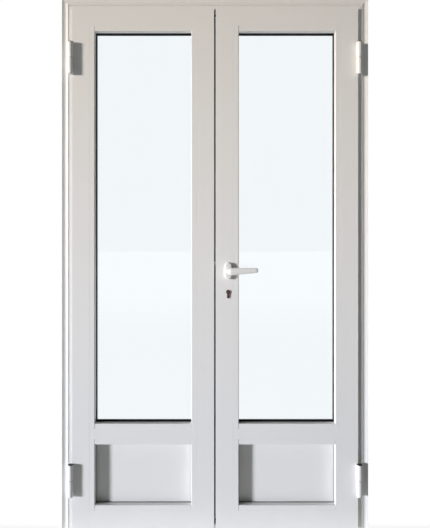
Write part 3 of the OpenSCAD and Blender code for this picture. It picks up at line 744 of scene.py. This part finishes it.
def turned_rod(radius, bottom, top, at, rim):
    """An upright turned rod with rounded ends."""
    start_clean()
    bpy.ops.mesh.primitive_cylinder_add(
        vertices=48, radius=radius, depth=top - bottom,
        location=(at[0], at[1], (bottom + top) / 2))
    piece = settle(bpy.context.object)
    pick(piece, lambda a, b: abs(a.z - b.z) < NEAR, "EDGE")
    bpy.ops.mesh.bevel(offset=rim, segments=3)
    bpy.ops.object.mode_set(mode="OBJECT")
    return piece


def soft_block(low, high, rim):
    """A block with rounded edges."""
    start_clean()
    size = [b - a for a, b in zip(low, high)]
    middle = [(a + b) / 2 for a, b in zip(low, high)]
    bpy.ops.mesh.primitive_cube_add(size=1, location=middle)
    piece = bpy.context.object
    bpy.ops.transform.resize(value=size, center_override=middle)
    settle(piece)
    bpy.ops.object.mode_set(mode="EDIT")
    bpy.ops.mesh.select_all(action="SELECT")
    bpy.ops.mesh.bevel(offset=rim, segments=2)
    bpy.ops.object.mode_set(mode="OBJECT")
    return piece


def hinge_half(bottom, top, axis, foot_low, foot_high):
    """A knuckle and its foot, made one solid."""
    rim = settings().door_hardware.knuckle_rim
    knuckle = turned_rod(KNUCKLE_R, bottom, top, axis, rim)
    foot = soft_block(foot_low, foot_high, rim)
    apply_modifier(knuckle, "BOOLEAN", operation="UNION", object=foot, solver="EXACT")
    bpy.data.objects.remove(foot)
    close_up(knuckle)
    return knuckle


class DOOR_OT_hinges(bpy.types.Operator):
    """Models the hinge knuckles, their feet and their caps"""

    bl_idname = "door.hinges"
    bl_label = "Hinges"

    def execute(self, context):
        joints = {row["name"]: row for row in frame["joints"]}
        axis = Vector(joints["right_leaf_swing"]["pos_m"])
        leaf_low, leaf_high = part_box("right_hinge_leaf_halves")
        leaf_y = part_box("right_hinge_stile")[0][1]
        frame_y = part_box("frame_jamb_right")[0][1]
        top_z = leaf_high[2]
        base = top_z - KNUCKLE_LEN
        drop = base - leaf_low[2]
        # each foot stops a little short of its knuckle's ends, so no two faces share a plane
        upper = hinge_half(
            base, top_z, axis, (axis.x - KNUCKLE_R + 1 * MM, axis.y, base + 1 * MM),
            (axis.x - 3 * MM, leaf_y, top_z - 0.5 * MM))
        low_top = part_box("hinge_frame_halves")[1][2]
        low_base = low_top - KNUCKLE_LEN
        lower = hinge_half(
            low_base, low_top, axis, (axis.x + 0.5 * MM, axis.y, low_base + 0.5 * MM),
            (axis.x + KNUCKLE_R - 2 * MM, frame_y, low_top - 1 * MM))
        cap = turned_rod(CAP_R, top_z, top_z + CAP_T, axis, CAP_RIM)
        close_up(cap)
        foot_cap = turned_rod(CAP_R, low_base - CAP_T, low_base, axis, CAP_RIM)
        close_up(foot_cap)
        self.spread(upper, drop, "leaf_knuckles", "hinge_coat", "hinge_leaf_halves")
        self.spread(cap, drop, "hinge_top_caps", "black_plastic", "hinge_caps")
        self.on_frame(lower, drop, "frame_knuckles", "hinge_coat", "hinge_frame_halves")
        self.on_frame(foot_cap, drop, "hinge_low_caps", "hinge_coat", "hinge_foot_caps")
        return {"FINISHED"}

    def spread(self, piece, drop, name, slot, node):
        """Copies a leaf's piece to its lower hinge, then both to the other leaf."""
        pair = joined([piece, copied(piece, shift=(0, 0, -drop))], f"right_{name}")
        other = take(copied(pair, flip=(0, 0)), f"left_{name}")
        finished(pair, "right_leaf", slot, MATERIALS[slot], f"right_{node}")
        finished(other, "left_leaf", slot, MATERIALS[slot], f"left_{node}")

    def on_frame(self, piece, drop, name, slot, node):
        """Copies a frame piece to all four hinges as one object."""
        pair = joined([piece, copied(piece, shift=(0, 0, -drop))], name)
        four = joined([pair, copied(pair, flip=(0, 0))], name)
        finished(four, "frame", slot, MATERIALS[slot], node)


# ------------------------------------------------------------------ stage


def soft_spot(name, height, aim, reach, colour, power):
    """A large distant lamp at the left. Its beam fades out at reach above and below aim."""
    away = 16.0
    side = math.radians(63)
    place = Vector((-away * math.sin(side), -away * math.cos(side), height))
    lamp = bpy.data.lights.new(name, "SPOT")
    lamp.color = colour
    lamp.energy = power
    lamp.shadow_soft_size = 1.3
    lamp.spot_size = 2 * math.atan(reach / away)
    lamp.spot_blend = 1.0
    holder = bpy.data.objects.new(name, lamp)
    bpy.context.scene.collection.objects.link(holder)
    holder.location = place
    aimed_at = Vector((0, 0, aim)) - place
    holder.rotation_euler = aimed_at.to_track_quat("-Z", "Y").to_euler()


def floor_paint(white):
    """Pale matt floor that turns into the bright background behind the door and far in front."""
    paint = Finish("floor paint")
    depth = paint.along("Y")
    # bright from just behind the door, and again between 4 and 8 metres in front of it
    behind = (depth / 0.3 + 0.9).clamped()
    afar = (depth * -0.25 - 1.0).clamped()
    bright = (behind + afar).clamped()
    tone = paint.noise(3.0, detail=3.0)
    pale = paint.blend(tone * 0.4, (0.80, 0.80, 0.80), (0.77, 0.77, 0.77))
    glow = paint.blend(bright, (0.07, 0.07, 0.07), (white, white, white))
    paint.set(Base_Color=paint.blend(bright, pale, (0, 0, 0)), Roughness=0.85,
              Specular_IOR_Level=0.0, Emission_Color=glow, Emission_Strength=1.0)
    return paint.material


class DOOR_OT_stage(bpy.types.Operator):
    """Makes the floor, the background, the lights and the camera"""

    bl_idname = "door.stage"
    bl_label = "Stage"

    def execute(self, context):
        values = settings().door_stage
        self.floor(values)
        soft_spot("upper light", height=3.3, aim=2.0, reach=2.1,
                  colour=WARM_WHITE, power=values.warm)
        soft_spot("lower light", height=1.6, aim=0.2, reach=2.1,
                  colour=COOL_WHITE, power=values.cool)
        self.surroundings(values)
        self.camera()
        context.scene.view_settings.view_transform = "Standard"
        return {"FINISHED"}

    def floor(self, values):
        """A wide floor just under the threshold."""
        start_clean()
        bpy.ops.mesh.primitive_plane_add(size=1, location=(0, 0, -1 * MM))
        floor = take(bpy.context.object, "floor")
        bpy.ops.transform.resize(value=(60, 60, 1), center_override=(0, 0, 0))
        settle(floor)
        floor.data.materials.append(floor_paint(values.white))

    def surroundings(self, values):
        """Weak light from all round, in front of a bright plain background."""
        world = bpy.context.scene.world or bpy.data.worlds.new("surroundings")
        bpy.context.scene.world = world
        world.use_nodes = True
        tree = world.node_tree
        tree.nodes.clear()
        kinds = ("OutputWorld", "MixShader", "LightPath", "Background", "Background")
        output, mix, path, fill, bright = [tree.nodes.new("ShaderNode" + kind) for kind in kinds]
        fill.inputs["Color"].default_value = FILL_WHITE
        fill.inputs["Strength"].default_value = values.fill
        bright.inputs["Color"].default_value = (1, 1, 1, 1)
        bright.inputs["Strength"].default_value = values.white
        tree.links.new(path.outputs["Is Camera Ray"], mix.inputs[0])
        tree.links.new(fill.outputs[0], mix.inputs[1])
        tree.links.new(bright.outputs[0], mix.inputs[2])
        tree.links.new(mix.outputs[0], output.inputs["Surface"])

    def camera(self):
        """Square on to the leaves, a little above the lever."""
        data = bpy.data.cameras.new("camera")
        eye = bpy.data.objects.new("camera", data)
        bpy.context.scene.collection.objects.link(eye)
        leaf_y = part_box("right_hinge_stile")[0][1]
        reach = 2.3
        eye_height = 1.2
        data.sensor_width = 36
        data.lens = 39.2
        data.shift_y = -0.064
        data.clip_end = 100
        eye.location = (0, leaf_y - reach, eye_height)
        eye.rotation_euler = (math.pi / 2, 0, 0)
        bpy.context.scene.camera = eye


class DOOR_PT_looks(bpy.types.Panel):
    """Lists the door's settings and makers"""

    bl_label = "Door Pair"
    bl_idname = "DOOR_PT_looks"
    bl_space_type = "VIEW_3D"
    bl_region_type = "UI"
    bl_category = "Door Pair"

    def draw(self, context):
        for group in GROUPS:
            box = self.layout.box()
            for name in GROUPS[group].__annotations__:
                box.prop(getattr(context.scene, group), name)
        for operator in OPERATORS:
            self.layout.operator(operator.bl_idname)


GROUPS = {
    "door_coat": CoatSettings,
    "door_glass": GlassSettings,
    "door_hardware": HardwareSettings,
    "door_stage": StageSettings,
}
OPERATORS = (DOOR_OT_finishes, DOOR_OT_lever, DOOR_OT_knob, DOOR_OT_rosettes,
             DOOR_OT_hinges, DOOR_OT_stage)
CLASSES = (*GROUPS.values(), *OPERATORS, DOOR_PT_looks)


def register():
    """Registers the classes and hangs the settings on the scene."""
    for each in CLASSES:
        bpy.utils.register_class(each)
    for name, group in GROUPS.items():
        setattr(bpy.types.Scene, name, PointerProperty(type=group))


def unregister():
    """Takes the settings and the classes away again."""
    for name in GROUPS:
        delattr(bpy.types.Scene, name)
    for each in reversed(CLASSES):
        bpy.utils.unregister_class(each)


def main():
    """Builds every piece in order."""
    register()
    bpy.ops.door.finishes()
    bpy.ops.door.lever()
    bpy.ops.door.knob()
    bpy.ops.door.rosettes()
    bpy.ops.door.hinges()
    bpy.ops.door.stage()


if __name__ == "__main__":
    main()
